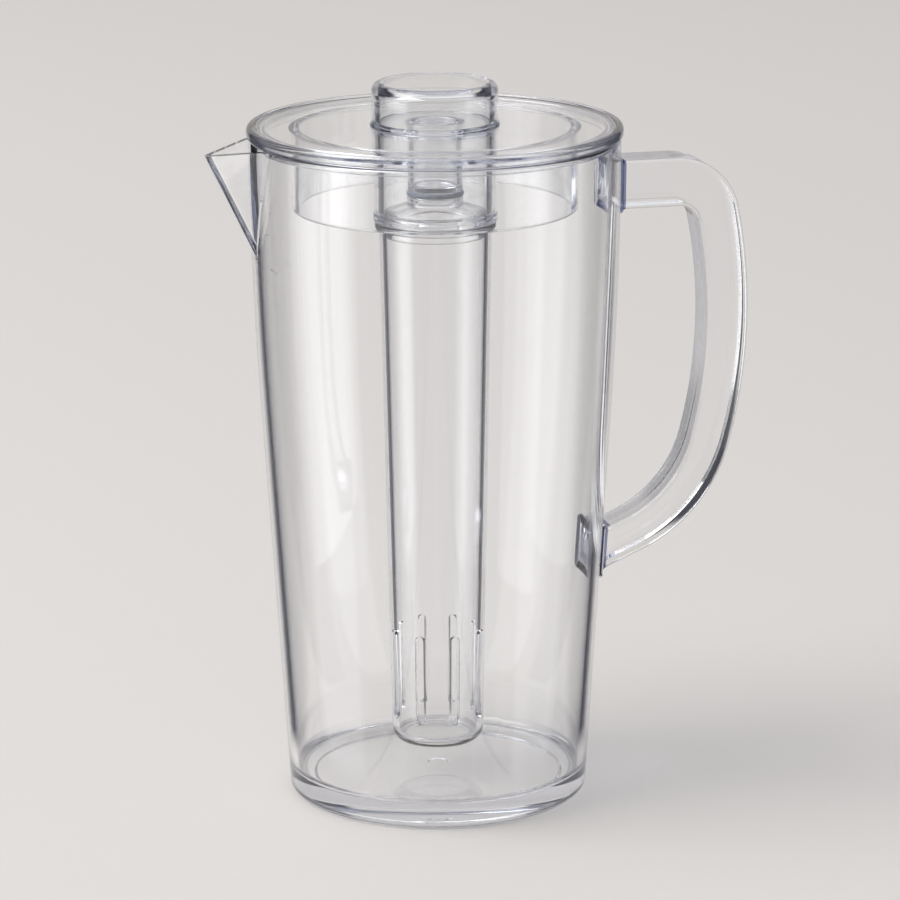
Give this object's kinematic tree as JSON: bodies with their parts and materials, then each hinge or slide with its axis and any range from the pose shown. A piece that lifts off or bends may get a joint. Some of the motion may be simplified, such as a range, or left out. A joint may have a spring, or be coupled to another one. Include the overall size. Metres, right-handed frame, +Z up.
{
  "type": "pitcher with ice core",
  "caption": "Tall clear plastic pitcher with a V spout, a loop handle, a flat lid with a knob stopper, and a slotted ice tube that hangs from the lid.",
  "frame": {"origin": "centre of the jug's base, on the plane of the foot ring that stands on the table", "axes": "+Z up along the jug's axis, spout towards -X, handle towards +X"},
  "size_m": [0.2038, 0.138, 0.2684],
  "materials": {
    "clear_body": "water-clear moulded plastic, polished",
    "clear_handle": "water-clear solid bar, polished",
    "clear_lid": "water-clear moulded plastic, polished",
    "clear_core": "water-clear moulded plastic, polished",
    "silicone": "translucent blue-grey silicone"
  },
  "bodies": {
    "jug": {"vessel": "clear_body", "spout": "clear_body", "handle": "clear_handle"},
    "lid": {"lid": "clear_lid"},
    "stopper": {"knob": "clear_lid", "stem": "clear_lid", "seal_ring": "silicone"},
    "core": {"core_cap": "clear_core", "core_tube": "clear_core"}
  },
  "joints": [
    {"name": "lid_lift", "type": "slide", "parent": "jug", "child": "lid", "axis": [0, 0, 1], "range_m": [0, 0.26]},
    {"name": "stopper_lift", "type": "slide", "parent": "lid", "child": "stopper", "axis": [0, 0, 1], "range_m": [0, 0.05]},
    {"name": "core_twist", "type": "hinge", "parent": "lid", "child": "core", "pos_m": [0, 0, 0.2175], "axis": [0, 0, 1], "range_deg": [0, 40]}
  ]
}
